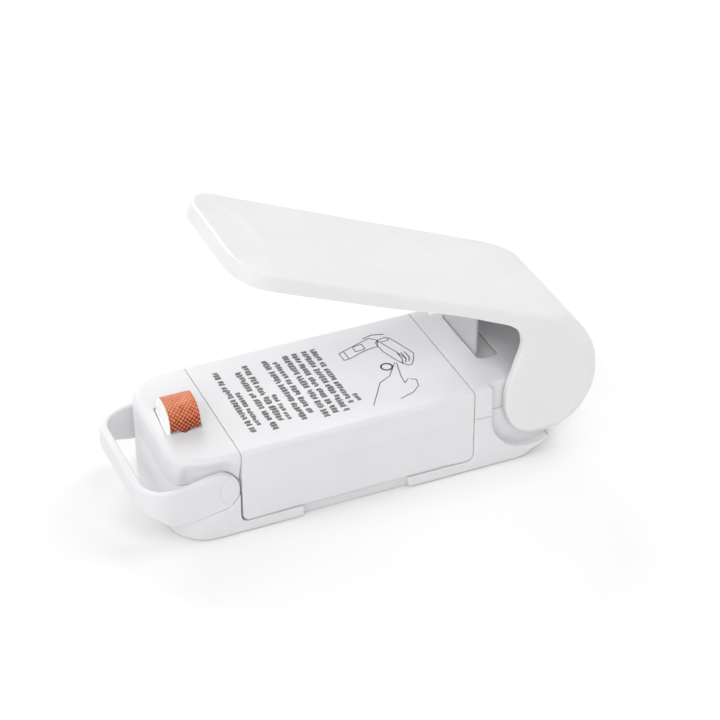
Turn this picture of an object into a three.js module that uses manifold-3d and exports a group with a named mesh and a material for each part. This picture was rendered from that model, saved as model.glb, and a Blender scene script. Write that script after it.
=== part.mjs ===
// Handheld bag heat sealer, millimetres, +Z up.
// +X runs from the sealing head to the hinge, the object stands on z = 0.
// Lengths along X are written from the front seam of the battery cover.
import * as THREE from 'three';
import { mergeVertices } from 'three/addons/utils/BufferGeometryUtils.js';
import Module from 'manifold-3d';

// ---- driving dimensions ----
const HALF_W = 18.75;        // half width of body and arm
const TOP_Z = 22.3;          // top plane of the body
const EDGE_R = 1.2;          // long top edges
const FRONT_X = -15.0;       // front face of the head
const HEAD_CORNER_R = 9.0;   // plan corners of the head
const PART_Z = 14.6;         // parting plane of lower and upper housings
const GAP = 0.3;             // clearance between neighbours
const WALL = 1.6;
const COVER_X0 = 0.15, COVER_X1 = 57.45, COVER_Z0 = 3.4;
const HINGE = [75, 15];      // x, z of the arm axis
const BARREL_R = 11.0;
const BARREL_HALF = 16.3;    // half width of the body between the cheeks
const CHEEK_IN = 16.7;       // inner face of the cheeks
const ARM_TILT = 22.9;       // degrees, arm top above horizontal at rest
const ARM_REF = [30.5, 57.6]; // a point on the arm's top line
const ARM_S0 = -31.1;        // tip, measured along the arm
const ARM_RIM = 4.4;         // rim depth square to the arm's top
const ARM_WALL = 1.8;
const TIP_R = 8.5;
const TIP_W = 19.1;          // half width of the arm near its tip
const BAIL = [-5.2, 12.6];   // x, z of the bail axis
const BAIL_OUT = -23.0, BAIL_T = 1.9, BAIL_CORNER = 7.6, BAIL_BOSS = 4.95;
const BAIL_UP = 20;          // degrees, the loop only lifts
const HEATER = { x0: -11.6, x1: -4.2, y0: -5.5, y1: 5.0, top: 27.4 };
const CELL_R = 7.15, CELL_Y = 7.35, CELL_Z = 9.2;
const SLOT = { x0: 64.2, x1: 69.8, y0: -6.4, y1: 13.9 };
const CENTRE_X = 33.62;      // puts the origin under the middle

const wasm = await Module(); wasm.setup();

// ---- helpers ----
const rad = (d) => d * Math.PI / 180;
function solid(geo) {
  const g = geo.clone(); g.deleteAttribute('normal'); g.deleteAttribute('uv');
  const m = mergeVertices(g, 1e-5);
  return new wasm.Manifold(new wasm.Mesh({
    numProp: 3,
    vertProperties: new Float32Array(m.attributes.position.array),
    triVerts: new Uint32Array(m.index.array),
  }));
}
function geometry(man) {
  const m = man.getMesh();
  const g = new THREE.BufferGeometry();
  g.setAttribute('position', new THREE.BufferAttribute(new Float32Array(m.vertProperties), 3));
  g.setIndex(new THREE.BufferAttribute(new Uint32Array(m.triVerts), 1));
  return g;
}
// polygon with rounded corners: points are [x, y, r]
function rounded(pts, step = 12) {
  const out = []; const n = pts.length;
  for (let i = 0; i < n; i++) {
    const [px, py] = pts[(i + n - 1) % n], [cx, cy, r = 0] = pts[i], [nx, ny] = pts[(i + 1) % n];
    if (!r) { out.push([cx, cy]); continue; }
    let ax = px - cx, ay = py - cy, bx = nx - cx, by = ny - cy;
    const la = Math.hypot(ax, ay), lb = Math.hypot(bx, by);
    ax /= la; ay /= la; bx /= lb; by /= lb;
    const ang = Math.acos(Math.max(-1, Math.min(1, ax * bx + ay * by)));
    const d = r / Math.tan(ang / 2);
    const hx = ax + bx, hy = ay + by, lh = Math.hypot(hx, hy);
    const c = r / Math.sin(ang / 2);
    const ox = cx + hx / lh * c, oy = cy + hy / lh * c;
    const a0 = Math.atan2(cy + ay * d - oy, cx + ax * d - ox);
    let a1 = Math.atan2(cy + by * d - oy, cx + bx * d - ox);
    while (a1 - a0 > Math.PI) a1 -= 2 * Math.PI;
    while (a1 - a0 < -Math.PI) a1 += 2 * Math.PI;
    const k = Math.max(2, Math.ceil(Math.abs(a1 - a0) / rad(step)));
    for (let j = 0; j <= k; j++) {
      const a = a0 + (a1 - a0) * j / k;
      out.push([ox + r * Math.cos(a), oy + r * Math.sin(a)]);
    }
  }
  return out;
}
function extruded(pts, depth) {
  const shape = new THREE.Shape(pts.map(([x, y]) => new THREE.Vector2(x, y)));
  return new THREE.ExtrudeGeometry(shape, { depth, bevelEnabled: false, steps: 1 });
}
const prismXY = (pts, z0, z1) => { const g = extruded(pts, z1 - z0); g.translate(0, 0, z0); return solid(g); };
// outline in X and Z, extruded along Y
const prismXZ = (pts, y0, y1) => {
  const g = extruded(pts, y1 - y0);
  g.applyMatrix4(new THREE.Matrix4().set(1, 0, 0, 0, 0, 0, -1, y1, 0, 1, 0, 0, 0, 0, 0, 1));
  return solid(g);
};
// outline in Y and Z, extruded along X
const prismYZ = (pts, x0, x1) => {
  const g = extruded(pts, x1 - x0);
  g.applyMatrix4(new THREE.Matrix4().set(0, 0, 1, x0, 1, 0, 0, 0, 0, 1, 0, 0, 0, 0, 0, 1));
  return solid(g);
};
const box = (x0, x1, y0, y1, z0, z1) => {
  const g = new THREE.BoxGeometry(x1 - x0, y1 - y0, z1 - z0);
  g.translate((x0 + x1) / 2, (y0 + y1) / 2, (z0 + z1) / 2); return solid(g);
};
// cylinder along an axis
function cyl(axis, a, b, r, from, to, n = 20) {
  const g = new THREE.CylinderGeometry(r, r, to - from, n);
  if (axis === 'y') g.translate(0, (from + to) / 2, 0), g.translate(a, 0, b);
  if (axis === 'z') { g.rotateX(Math.PI / 2); g.translate(a, b, (from + to) / 2); }
  if (axis === 'x') { g.rotateZ(Math.PI / 2); g.translate((from + to) / 2, a, b); }
  return solid(g);
}
// frame of the arm: s along the arm towards the hinge, n square to its top
const T = rad(ARM_TILT), CT = Math.cos(T), ST = Math.sin(T);
const arm = (s, n) => [ARM_REF[0] + s * CT + n * ST, ARM_REF[1] - s * ST + n * CT];
// matrix from (s, y, n) to (x, y, z)
const ARM_M = new THREE.Matrix4().set(CT, 0, ST, ARM_REF[0], 0, 1, 0, 0, -ST, 0, CT, ARM_REF[1], 0, 0, 0, 1);
const armPlan = (pts, n0, n1) => { const g = extruded(pts, n1 - n0); g.translate(0, 0, n0); g.applyMatrix4(ARM_M); return solid(g); };
const armSection = (pts, s0, s1) => {
  const g = extruded(pts, s1 - s0);
  g.applyMatrix4(new THREE.Matrix4().set(0, 0, 1, s0, 1, 0, 0, 0, 0, 1, 0, 0, 0, 0, 0, 1)); g.applyMatrix4(ARM_M);
  return solid(g);
};
const arc = (cx, cy, r, a0, a1, n) => Array.from({ length: n + 1 }, (_, i) => {
  const a = rad(a0 + (a1 - a0) * i / n); return [cx + r * Math.cos(a), cy + r * Math.sin(a)];
});

// ---- the body's outer volume ----
const [HX, HZ] = HINGE;
const topAngle = Math.asin((TOP_Z - HZ) / BARREL_R) * 180 / Math.PI;
const sideProfile = [
  ...rounded([[60, TOP_Z, 0], [FRONT_X, TOP_Z, 1.8], [FRONT_X, 0, 2.6], [69.5, 0, 0]], 15).slice(1, -1),
  [69.5, 0], [72.4, 0.85], [76.2, 2.9], [79.2, 4.85],
  ...arc(HX, HZ, BARREL_R, -62, topAngle, 12),
];
const plan = rounded([[FRONT_X, -HALF_W, HEAD_CORNER_R], [90, -HALF_W, 0], [90, HALF_W, 0], [FRONT_X, HALF_W, HEAD_CORNER_R]], 10);
const section = rounded([[-HALF_W, -1, 0], [HALF_W, -1, 0], [HALF_W, TOP_Z, EDGE_R], [-HALF_W, TOP_Z, EDGE_R]], 15);
const bodyVolume = prismXZ(sideProfile, -20, 20).intersect(prismXY(plan, -1, 30)).intersect(prismYZ(section, -16, 90));

// ---- recess for the cheeks of the arm, both sides ----
const cheekCut = [
  [62.2, 30], [62.2, HZ - 0.6], ...arc(73.0, 14.0, 10.8, 176, 306, 14), [84, 4.2], [100, 4.2], [100, 30],
];
const cheekRecess = prismXZ(cheekCut, BARREL_HALF, 21).add(prismXZ(cheekCut, -21, -BARREL_HALF));

// ---- bail: side outline, and the sector it sweeps ----
const [BX, BZ] = BAIL;
const bailOutline = (g) => [
  ...arc(BX, BZ, BAIL_BOSS + g, 80, -80, 10),
  [-7.6, 7.35 - g], [-10.2, 6.7 - g], [-12.8, 6.45 - g], [-15.4, 6.75 - g], [-18.0, 7.75 - g], [-20.4, 9.2 - g], [-24 - g, 10.3 - g],
  [-24 - g, 15.3 + g], [-20.4, 15.5 + g], [-16.5, 15.85 + g], [-12.8, 16.25 + g], [-10.2, 16.7 + g], [-7.6, 17.25 + g],
];
const turned = (pts, deg) => {
  const c = Math.cos(rad(deg)), s = Math.sin(rad(deg));
  // positive lifts the front bar
  return pts.map(([x, z]) => { const u = x - BX, v = z - BZ; return [BX + u * c + v * s, BZ - u * s + v * c]; });
};
let bailSweep = null;
for (let k = 0; k <= 8; k++) {
  const a = -0.5 + (BAIL_UP + 1.5) * k / 8;
  const p = prismXZ(turned(bailOutline(0.35), a), 16.55, 21);
  bailSweep = bailSweep ? bailSweep.add(p) : p;
}
const bailRecess = bailSweep.add(bailSweep.mirror([0, 1, 0]));

// ---- interior volumes of the housings ----
const frontHollow = prismXY(rounded([[FRONT_X + WALL, -14.9, 6.6], [-1.5, -14.9, 0], [-1.5, 14.9, 0], [FRONT_X + WALL, 14.9, 6.6]], 15), WALL, TOP_Z - WALL);
const rearHollow = prismXZ([
  [59.3, 1.7], [70.6, 1.7], [74.5, 3.6], [78.2, 5.9], ...arc(HX, HZ, BARREL_R - 1.8, -60, 33, 8), [HX + 6.6, TOP_Z - WALL], [59.3, TOP_Z - WALL],
], -13.8, 13.8);
const post = (x, y) => cyl('z', x, y, 2.5, 1.0, 14.0, 16);
const postHole = (x, y) => cyl('z', x, y, 2.35, -1, 3.2, 16).add(cyl('z', x, y, 1.3, 3, 15, 16));
const POSTS = [[-9.6, -10.1], [-9.6, 10.1], [61.6, -10.4], [61.6, 10.4]];
const bailPinHole = cyl('y', BX, BZ, 1.5, -21, 21, 16);
const pinHole = cyl('y', HX, HZ, 2.2, -18.05, 18.05, 20);

// ---- 1 base shell ----
const below = box(-30, 100, -25, 25, -1, PART_Z - 0.1);
let base = bodyVolume.intersect(below);
base = base.subtract(frontHollow).subtract(rearHollow);
base = base.subtract(box(1.9, 55.7, -15.1, 15.1, 1.7, 30));
base = base.subtract(box(-0.15, 57.75, 16.85, 25, COVER_Z0 - 0.3, 30)).subtract(box(-0.15, 57.75, -25, -16.85, COVER_Z0 - 0.3, 30));
// end walls of the battery tray reach up under the cover
for (const [a, b] of [[0.5, 1.9], [55.7, 57.1]]) {
  base = base.add(prismYZ(rounded([[-16.8, PART_Z - 1.1, 0], [16.8, PART_Z - 1.1, 0], [16.8, 20.3, 1.5], [-16.8, 20.3, 1.5]], 30).slice(), a, b));
}
base = base.subtract(box(-3, 60, -1.4, 1.4, 15.6, 30));
// rest of the cells: two cradles
for (const x of [14, 42]) base = base.add(box(x, x + 1.5, -15.2, 15.2, 1.5, 6.5).subtract(cyl('x', -CELL_Y, CELL_Z, CELL_R + 0.35, x - 1, x + 3, 28)).subtract(cyl('x', CELL_Y, CELL_Z, CELL_R + 0.35, x - 1, x + 3, 28)));
// finger notches under the cover's lower edges
const notch = [[14.9, -1], [14.9, COVER_Z0 - 0.25], [40.6, COVER_Z0 - 0.25], [42.0, -1]];
base = base.subtract(prismXZ(notch, 17.3, 25)).subtract(prismXZ(notch, -25, -17.3));
base = base.subtract(bailRecess).subtract(cheekRecess);
for (const [x, y] of POSTS) base = base.add(post(x, y));
for (const [x, y] of POSTS) base = base.subtract(postHole(x, y));
base = base.subtract(bailPinHole).subtract(pinHole);
// seat of the heater's spring
base = base.add(cyl('z', -8.3, 0.15, 2.0, 1.0, 5.5, 16));

// ---- 2 head cover ----
let head = bodyVolume.intersect(box(-30, -0.15, -25, 25, PART_Z + 0.2, 30)).subtract(frontHollow).subtract(box(-3, 2, -14.9, 14.9, 10, TOP_Z - WALL));
head = head.subtract(box(HEATER.x0 - 0.35, HEATER.x1 + 0.35, HEATER.y0 - 0.65, HEATER.y1 + 0.65, 18, 30));
head = head.subtract(bailRecess).subtract(bailPinHole);

// ---- 3 rear cover ----
let rear = bodyVolume.intersect(box(57.75, 100, -25, 25, PART_Z + 0.2, 30)).subtract(rearHollow).subtract(box(57, 60, -15, 15, 10, TOP_Z - WALL));
rear = rear.subtract(cheekRecess).subtract(pinHole);
rear = rear.subtract(prismXY(rounded([[SLOT.x0, SLOT.y0, 1], [SLOT.x1, SLOT.y0, 1], [SLOT.x1, SLOT.y1, 1], [SLOT.x0, SLOT.y1, 1]], 30), 15, 30));

// ---- 4 battery cover ----
const inner = rounded([[-17.15, -1, 0], [17.15, -1, 0], [17.15, TOP_Z - WALL, 1.6], [-17.15, TOP_Z - WALL, 1.6]], 30);
let cover = bodyVolume.intersect(prismXZ(rounded([[COVER_X0, COVER_Z0, 1.5], [COVER_X1, COVER_Z0, 1.5], [COVER_X1, 40, 0], [COVER_X0, 40, 0]], 20), -25, 25)).subtract(prismYZ(inner, -5, 70));

// ---- 5 arm shell ----
const armProfile = [
  arm(ARM_S0, 0), arm(ARM_S0, -ARM_RIM + 0.5), arm(ARM_S0 + 0.5, -ARM_RIM),
  arm(38.6 + 0.6, -ARM_RIM - 0.2),
  [67.4, 37.1], [69.0, 34.5], [69.5, 32.1], [68.9, 29.4], [67.6, 26.2], [66.2, 22.3], [65.5, 19.8], [65.25, 17.2],
  [65.8, 13.9], [67.2, 10.9], [69.2, 8.5], [71.8, 6.5], [74.8, 5.4], [78.2, 5.1], [81.4, 5.9], [84.6, 7.7], [87.2, 10.4],
  [89.2, 14.2], [90.2, 18.4], [90.0, 23.0], [88.8, 27.2], [86.7, 31.2], arm(56.0, -1.2), arm(54.5, -0.3), arm(53, 0),
];
const armPlanOut = rounded([[ARM_S0, -TIP_W, TIP_R], [-14, -TIP_W, 0], [14, -HALF_W, 0], [120, -HALF_W, 0], [120, HALF_W, 0], [14, HALF_W, 0], [-14, TIP_W, 0], [ARM_S0, TIP_W, TIP_R]], 9);
const armSec = rounded([[-TIP_W, -90, 0], [TIP_W, -90, 0], [TIP_W, 0, EDGE_R], [-TIP_W, 0, EDGE_R]], 15);
const rearCorners = prismXY(rounded([[-60, -TIP_W, 0], [60, -TIP_W, 0], [75, -HALF_W, 0], [90.3, -HALF_W, 4.5], [90.3, HALF_W, 4.5], [75, HALF_W, 0], [60, TIP_W, 0], [-60, TIP_W, 0]], 15), -5, 120);
let armShell = prismXZ(armProfile, -20, 20).intersect(armPlan(armPlanOut, -95, 5)).intersect(armSection(armSec, -60, 120)).intersect(rearCorners);
const armInner = [
  arm(ARM_S0 + ARM_WALL, -ARM_WALL), arm(ARM_S0 + ARM_WALL, -30), [0, -10], [100, -10], [100, 11.8], [86.6, 11.8],
  [87.6, 14.4], [88.4, 18.4], [88.2, 22.8], [87.1, 26.5], [85.1, 30.3], arm(54.2, -2.8), arm(53, -ARM_WALL),
];
const armInnerPlan = rounded([[ARM_S0 + ARM_WALL, -CHEEK_IN, TIP_R - 1.8], [120, -CHEEK_IN, 0], [120, CHEEK_IN, 0], [ARM_S0 + ARM_WALL, CHEEK_IN, TIP_R - 1.8]], 12);
const armInnerRear = prismXY(rounded([[-60, -CHEEK_IN, 0], [120, -CHEEK_IN, 0], [120, CHEEK_IN, 0], [-60, CHEEK_IN, 0]], 15), -15, 120);
armShell = armShell.subtract(prismXZ(armInner, -17, 17).intersect(armPlan(armInnerPlan, -120, 5)).intersect(armInnerRear)).subtract(pinHole);

// ---- 6 arm liner, 7 pad carrier, 8 press pad ----
const PAD = { s: -24.4, half: 3.9, w: 8.2, n0: -3.05 };
const liner = armPlan(rounded([[-14.5, -16.2, 1.5], [46.0, -16.2, 1.5], [46.0, 16.2, 1.5], [-14.5, 16.2, 1.5]], 30), -3.6, -ARM_WALL - GAP);
const carrier = armPlan(rounded([[PAD.s - PAD.half - 0.7, -10.0, 1.2], [PAD.s + PAD.half + 1.6, -10.0, 1.2], [PAD.s + PAD.half + 1.6, 10.0, 1.2], [PAD.s - PAD.half - 0.7, 10.0, 1.2]], 30), -2.6, -ARM_WALL - GAP)
  .subtract(armPlan(rounded([[PAD.s - PAD.half - 0.2, -PAD.w - GAP, 0.6], [PAD.s + PAD.half + GAP, -PAD.w - GAP, 0.6], [PAD.s + PAD.half + GAP, PAD.w + GAP, 0.6], [PAD.s - PAD.half - 0.2, PAD.w + GAP, 0.6]], 45), -5, 0));
const pad = armPlan(rounded([[PAD.s - PAD.half, -PAD.w, 0.6], [PAD.s + PAD.half, -PAD.w, 0.6], [PAD.s + PAD.half, PAD.w, 0.6], [PAD.s - PAD.half, PAD.w, 0.6]], 45), PAD.n0, -ARM_WALL - GAP);

// ---- 9 bail loop, 10-11 its pins ----
const bailPlan = rounded([[4, -HALF_W, 0], [4, HALF_W, 0], [BAIL_OUT, HALF_W, BAIL_CORNER], [BAIL_OUT, -HALF_W, BAIL_CORNER]], 10);
const bailHole = rounded([[9, -HALF_W + BAIL_T, 0], [9, HALF_W - BAIL_T, 0], [BAIL_OUT + 2.1, HALF_W - BAIL_T, BAIL_CORNER - 1.9], [BAIL_OUT + 2.1, -HALF_W + BAIL_T, BAIL_CORNER - 1.9]], 12);
let bail = prismXY(bailPlan, 0, 30).subtract(prismXY(bailHole, -5, 35)).intersect(prismXZ(bailOutline(0), -20, 20));
bail = bail.subtract(cyl('y', BX, BZ, 1.5, -18.0, 18.0, 16));
const bailPin = (y0, y1) => cyl('y', BX, BZ, 1.2, y0, y1, 14);

// ---- 12-15 heater ----
const dome = (off, z0, n = 20) => {
  // arch across Y, square to X
  const yc = (HEATER.y0 + HEATER.y1) / 2, b = (HEATER.y1 - HEATER.y0) / 2 + off, h = HEATER.top - TOP_Z + 0.6 + off, out = [];
  for (let i = 0; i <= n; i++) {
    const a = Math.PI * i / n, c = Math.cos(a), s = Math.sin(a), e = 2 / 2.7;
    out.push([yc + b * Math.sign(c) * Math.abs(c) ** e, TOP_Z - 0.6 + h * Math.abs(s) ** e]);
  }
  return [...out, [yc - b, z0], [yc + b, z0]];
};
const tidy = (pts) => pts.filter((p, i) => { const q = pts[(i + 1) % pts.length]; return Math.hypot(p[0] - q[0], p[1] - q[1]) > 1e-3; });
const block = prismYZ(tidy(dome(-0.9, 13.0)), HEATER.x0, HEATER.x1).subtract(box(HEATER.x0 + 1.6, HEATER.x1 - 1.6, -3.4, 2.9, 12, 18.5)).subtract(cyl('z', -8.3, 0.15, 2.3, 12, 19.2, 16));
const ribbon = prismYZ(tidy(dome(-0.42, 17)), -8.9, -6.9).subtract(prismYZ(tidy(dome(-0.62, 16)), -20, 0));
const cloth = prismYZ(tidy(dome(0, 20.2)), HEATER.x0 + 0.05, HEATER.x1 - 0.05).subtract(prismYZ(tidy(dome(-0.2, 15)), -20, 0));

// ---- coils ----
class Helix extends THREE.Curve {
  constructor(r, pitch, turns, place, start = 0) { super(); Object.assign(this, { r, pitch, turns, place, start }); }
  getPoint(t, out = new THREE.Vector3()) {
    const a = this.start + t * this.turns * 2 * Math.PI;
    return this.place(out.set(this.r * Math.cos(a), this.r * Math.sin(a), this.pitch * this.turns * t));
  }
}
function coil(r, wire, pitch, turns, place, stepsPerTurn = 14) {
  const shape = new THREE.Shape(arc(0, 0, wire, 0, 300, 5).map(([x, y]) => new THREE.Vector2(x, y)));
  return solid(new THREE.ExtrudeGeometry(shape, { steps: Math.round(turns * stepsPerTurn), extrudePath: new Helix(r, pitch, turns, place), bevelEnabled: false }));
}
const heaterSpring = coil(2.7, 0.35, 1.5, 6, (v) => v.set(v.x - 8.3, v.y + 0.15, v.z + 3.2), 10);
const springA = coil(2.8, 0.3, 0.75, 1.6, (v) => v.set(v.z + 53.35, v.x - CELL_Y, v.y + CELL_Z));
const springB = coil(2.8, 0.3, 0.75, 1.6, (v) => v.set(v.z + 3.05, v.x + CELL_Y, v.y + CELL_Z));
const torsion = coil(3.3, 0.6, 1.5, 6, (v) => v.set(v.x + HX, v.z - 4.5, v.y + HZ));

// ---- cells and contacts ----
const cell = (y, flip) => {
  const x = (v) => flip ? 57.6 - v : v;
  const span = (a, b) => [Math.min(x(a), x(b)), Math.max(x(a), x(b))];
  const g = cyl('x', y, CELL_Z, CELL_R, ...span(3.9, 52.8), 32).add(cyl('x', y, CELL_Z, 2.7, ...span(2.8, 4.2), 16));
  return g;
};
const plate = (x0, x1, y0, y1) => prismYZ(rounded([[y0, 3.0, 1], [y1, 3.0, 1], [y1, 15.2, 1], [y0, 15.2, 1]], 30), x0, x1);

// ---- switch ----
const blade = box(64.6, 65.5, -5.6, 13.1, 9.0, 37.6).add(box(64.6, 67.2, 0, 6, 9.0, 10.2)).add(box(64.6, 69.4, -6.0, 13.5, 19.6, 21.3));
const contactFixed = box(60.2, 67.4, 0.2, 5.8, 2.0, 2.4).add(box(60.2, 60.6, 0.2, 5.8, 2.0, 12.5));
const contactLeaf = box(66.0, 69.4, -4.6, -1.2, 2.0, 2.4).add(box(69.0, 69.4, -4.6, -1.2, 2.0, 12.5));

// ---- lead wire, held inside along its whole length ----
const leadPath = new THREE.CatmullRomCurve3([
  [61.4, -2.2, 12.0], [60.3, -1.0, 15.0], [58.6, 0, 17.0], [55, 0, 17.6], [40, 0, 17.6], [20, 0, 17.6], [3, 0, 17.6], [-0.6, 0, 17.2], [-2.2, -1.5, 15.2], [-2.4, -3, 12.4],
].map((p) => new THREE.Vector3(...p)));
const lead = solid(new THREE.ExtrudeGeometry(new THREE.Shape(arc(0, 0, 0.65, 0, 315, 7).map(([x, y]) => new THREE.Vector2(x, y))), { steps: 44, extrudePath: leadPath, bevelEnabled: false }));

// ---- screws ----
const screw = (x, y) => cyl('z', x, y, 2.0, 0.7, 2.6, 18).add(cyl('z', x, y, 1.0, 2.4, 13.2, 12)).subtract(box(x - 1.3, x + 1.3, y - 0.3, y + 0.3, 0, 1.4)).subtract(box(x - 0.3, x + 0.3, y - 1.3, y + 1.3, 0, 1.4));

// ---- the object ----
const group = new THREE.Group();
const looks = {
  white: { color: '#ececee', roughness: 0.45, metalness: 0 },
  grey: { color: '#a4a5a8', roughness: 0.55, metalness: 0 },
  ceramic: { color: '#f4f4f0', roughness: 0.5, metalness: 0 },
  silicone: { color: '#c9c9c5', roughness: 0.8, metalness: 0 },
  cloth: { color: '#b8481f', roughness: 0.7, metalness: 0 },
  steel: { color: '#b9bbbe', roughness: 0.35, metalness: 1 },
  strip: { color: '#8d8f92', roughness: 0.4, metalness: 1 },
  brass: { color: '#c7a65a', roughness: 0.35, metalness: 1 },
  jacket: { color: '#2f6f4f', roughness: 0.4, metalness: 0.1 },
  dark: { color: '#3c3d40', roughness: 0.6, metalness: 0 },
  lead: { color: '#a02a22', roughness: 0.6, metalness: 0 },
};
function add(name, man, look) {
  const mesh = new THREE.Mesh(geometry(man), new THREE.MeshStandardMaterial(looks[look]));
  mesh.name = name; group.add(mesh);
}
add('base_shell', base, 'white');
add('head_cover', head, 'white');
add('rear_cover', rear, 'white');
add('battery_cover', cover, 'white');
add('arm_shell', armShell, 'white');
add('arm_liner', liner, 'grey');
add('pad_carrier', carrier, 'grey');
add('press_pad', pad, 'silicone');
add('bail_loop', bail, 'white');
add('bail_pin_near', bailPin(-17.7, -12.5), 'steel');
add('bail_pin_far', bailPin(12.5, 17.7), 'steel');
add('heater_block', block, 'ceramic');
add('heater_ribbon', ribbon, 'strip');
add('ptfe_cloth', cloth, 'cloth');
add('heater_spring', heaterSpring, 'steel');
add('cell_a', cell(-CELL_Y, false), 'jacket');
add('cell_b', cell(CELL_Y, true), 'jacket');
add('contact_plate_a', plate(2.2, 2.5, -13.6, -1.2), 'brass');
add('contact_plate_b', plate(2.2, 2.5, 1.2, 13.6), 'brass');
add('contact_bridge', plate(55.1, 55.4, -13.6, 13.6), 'brass');
add('contact_spring_a', springA, 'steel');
add('contact_spring_b', springB, 'steel');
add('hinge_pin', cyl('y', HX, HZ, 1.9, -17.75, 17.75, 20), 'steel');
add('torsion_spring', torsion, 'steel');
add('switch_blade', blade, 'dark');
add('switch_contact_fixed', contactFixed, 'brass');
add('switch_contact_leaf', contactLeaf, 'brass');
add('lead_wire', lead, 'lead');
add('screw_front_near', screw(...POSTS[0]), 'steel');
add('screw_front_far', screw(...POSTS[1]), 'steel');
add('screw_rear_near', screw(...POSTS[2]), 'steel');
add('screw_rear_far', screw(...POSTS[3]), 'steel');
group.position.x = -CENTRE_X;
export default group;
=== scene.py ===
import math

import bpy
import numpy as np
from mathutils import Matrix, Vector


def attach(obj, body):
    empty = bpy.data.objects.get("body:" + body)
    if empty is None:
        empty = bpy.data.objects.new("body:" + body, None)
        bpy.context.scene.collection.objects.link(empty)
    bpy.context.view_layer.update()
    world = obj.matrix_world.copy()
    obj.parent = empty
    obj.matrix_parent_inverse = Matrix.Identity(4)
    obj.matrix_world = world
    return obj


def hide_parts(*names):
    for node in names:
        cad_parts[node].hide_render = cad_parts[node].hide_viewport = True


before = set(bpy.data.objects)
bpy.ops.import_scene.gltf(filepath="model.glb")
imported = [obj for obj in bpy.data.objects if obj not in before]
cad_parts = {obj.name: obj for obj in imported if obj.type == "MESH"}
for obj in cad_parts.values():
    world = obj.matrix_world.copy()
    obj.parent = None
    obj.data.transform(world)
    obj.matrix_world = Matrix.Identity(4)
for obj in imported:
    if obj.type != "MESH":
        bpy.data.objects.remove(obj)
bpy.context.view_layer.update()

# ------------------------------------------------------------------
# Lengths below are in millimetres in the seam frame: x = 0 at the front
# seam of the battery cover, y = 0 in the middle, z = 0 on the table.
# ------------------------------------------------------------------
CX = 33.62
HALF_W, TOP_Z, EDGE_R = 18.75, 22.3, 1.2
FRONT_X, HEAD_R = -15.0, 9.0
PART = 14.65
HX, HZ, BARREL_R = 75.0, 15.0, 11.0
TILT = math.radians(22.9)
CT, ST = math.cos(TILT), math.sin(TILT)
ARM_REF = (30.5, 57.6)
ARM_S0, ARM_WALL = -31.1, 1.8
BX, BZ = -5.2, 12.6


# ---------------------------- camera ------------------------------
def look_camera():
    az, el = math.radians(-23.69), math.radians(34.30)
    cam = bpy.data.cameras.new("camera")
    cam.lens = 113.51
    cam.sensor_width = 36.0
    cam.clip_start = 0.02
    cam.clip_end = 20.0
    ob = bpy.data.objects.new("camera", cam)
    bpy.context.scene.collection.objects.link(ob)
    pos = Vector(((-137.34 - CX) / 1000, -397.13 / 1000, 321.41 / 1000))
    fwd = Vector((-math.sin(az) * math.cos(el), math.cos(az) * math.cos(el), -math.sin(el)))
    ob.location = pos
    ob.rotation_euler = fwd.to_track_quat("-Z", "Y").to_euler()
    bpy.context.scene.camera = ob


look_camera()


# ------------------------ distance functions ----------------------
def rmax(a, b, r):
    """Intersection with a rounded edge of radius r."""
    return np.minimum(np.maximum(a, b), -r) + np.sqrt(np.maximum(a + r, 0) ** 2 + np.maximum(b + r, 0) ** 2)


def rmin(a, b, r):
    """Union with a rounded inner corner of radius r."""
    return -rmax(-a, -b, r)


def poly(px, pz, pts):
    """Signed distance to a closed outline, negative inside."""
    pts = np.asarray(pts, float)
    a, b = pts, np.roll(pts, -1, axis=0)
    d2 = None
    odd = None
    for (ax, ay), (bx, by) in zip(a, b):
        ex, ey = bx - ax, by - ay
        l2 = ex * ex + ey * ey
        if l2 < 1e-12:
            continue
        wx, wy = px - ax, pz - ay
        t = np.clip((wx * ex + wy * ey) / l2, 0, 1)
        q = (wx - ex * t) ** 2 + (wy - ey * t) ** 2
        d2 = q if d2 is None else np.minimum(d2, q)
        if abs(ey) > 1e-12:
            c = ((ay <= pz) & (by > pz)) | ((by <= pz) & (ay > pz))
            hit = c & (wx < wy * ex / ey)
            odd = hit if odd is None else odd ^ hit
    return np.where(odd, -1.0, 1.0) * np.sqrt(d2)


def arc(cx, cy, r, a0, a1, n):
    return [(cx + r * math.cos(math.radians(a0 + (a1 - a0) * i / n)), cy + r * math.sin(math.radians(a0 + (a1 - a0) * i / n))) for i in range(n + 1)]


def smooth(pts, step=0.8):
    """Open Catmull-Rom curve through the points, as points about one step apart."""
    p = [np.array(q, float) for q in pts]
    p = [2 * p[0] - p[1]] + p + [2 * p[-1] - p[-2]]
    out = []
    for i in range(1, len(p) - 2):
        p0, p1, p2, p3 = p[i - 1], p[i], p[i + 1], p[i + 2]
        t0 = 0.0
        t1 = t0 + np.linalg.norm(p1 - p0) ** 0.5
        t2 = t1 + np.linalg.norm(p2 - p1) ** 0.5
        t3 = t2 + np.linalg.norm(p3 - p2) ** 0.5
        n = max(1, int(round(np.linalg.norm(p2 - p1) / step)))
        for k in range(n):
            t = t1 + (t2 - t1) * k / n
            a1 = (t1 - t) / (t1 - t0) * p0 + (t - t0) / (t1 - t0) * p1
            a2 = (t2 - t) / (t2 - t1) * p1 + (t - t1) / (t2 - t1) * p2
            a3 = (t3 - t) / (t3 - t2) * p2 + (t - t2) / (t3 - t2) * p3
            b1 = (t2 - t) / (t2 - t0) * a1 + (t - t0) / (t2 - t0) * a2
            b2 = (t3 - t) / (t3 - t1) * a2 + (t - t1) / (t3 - t1) * a3
            out.append(tuple((t2 - t) / (t2 - t1) * b1 + (t - t1) / (t2 - t1) * b2))
    out.append(tuple(p[-2]))
    return out


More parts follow.
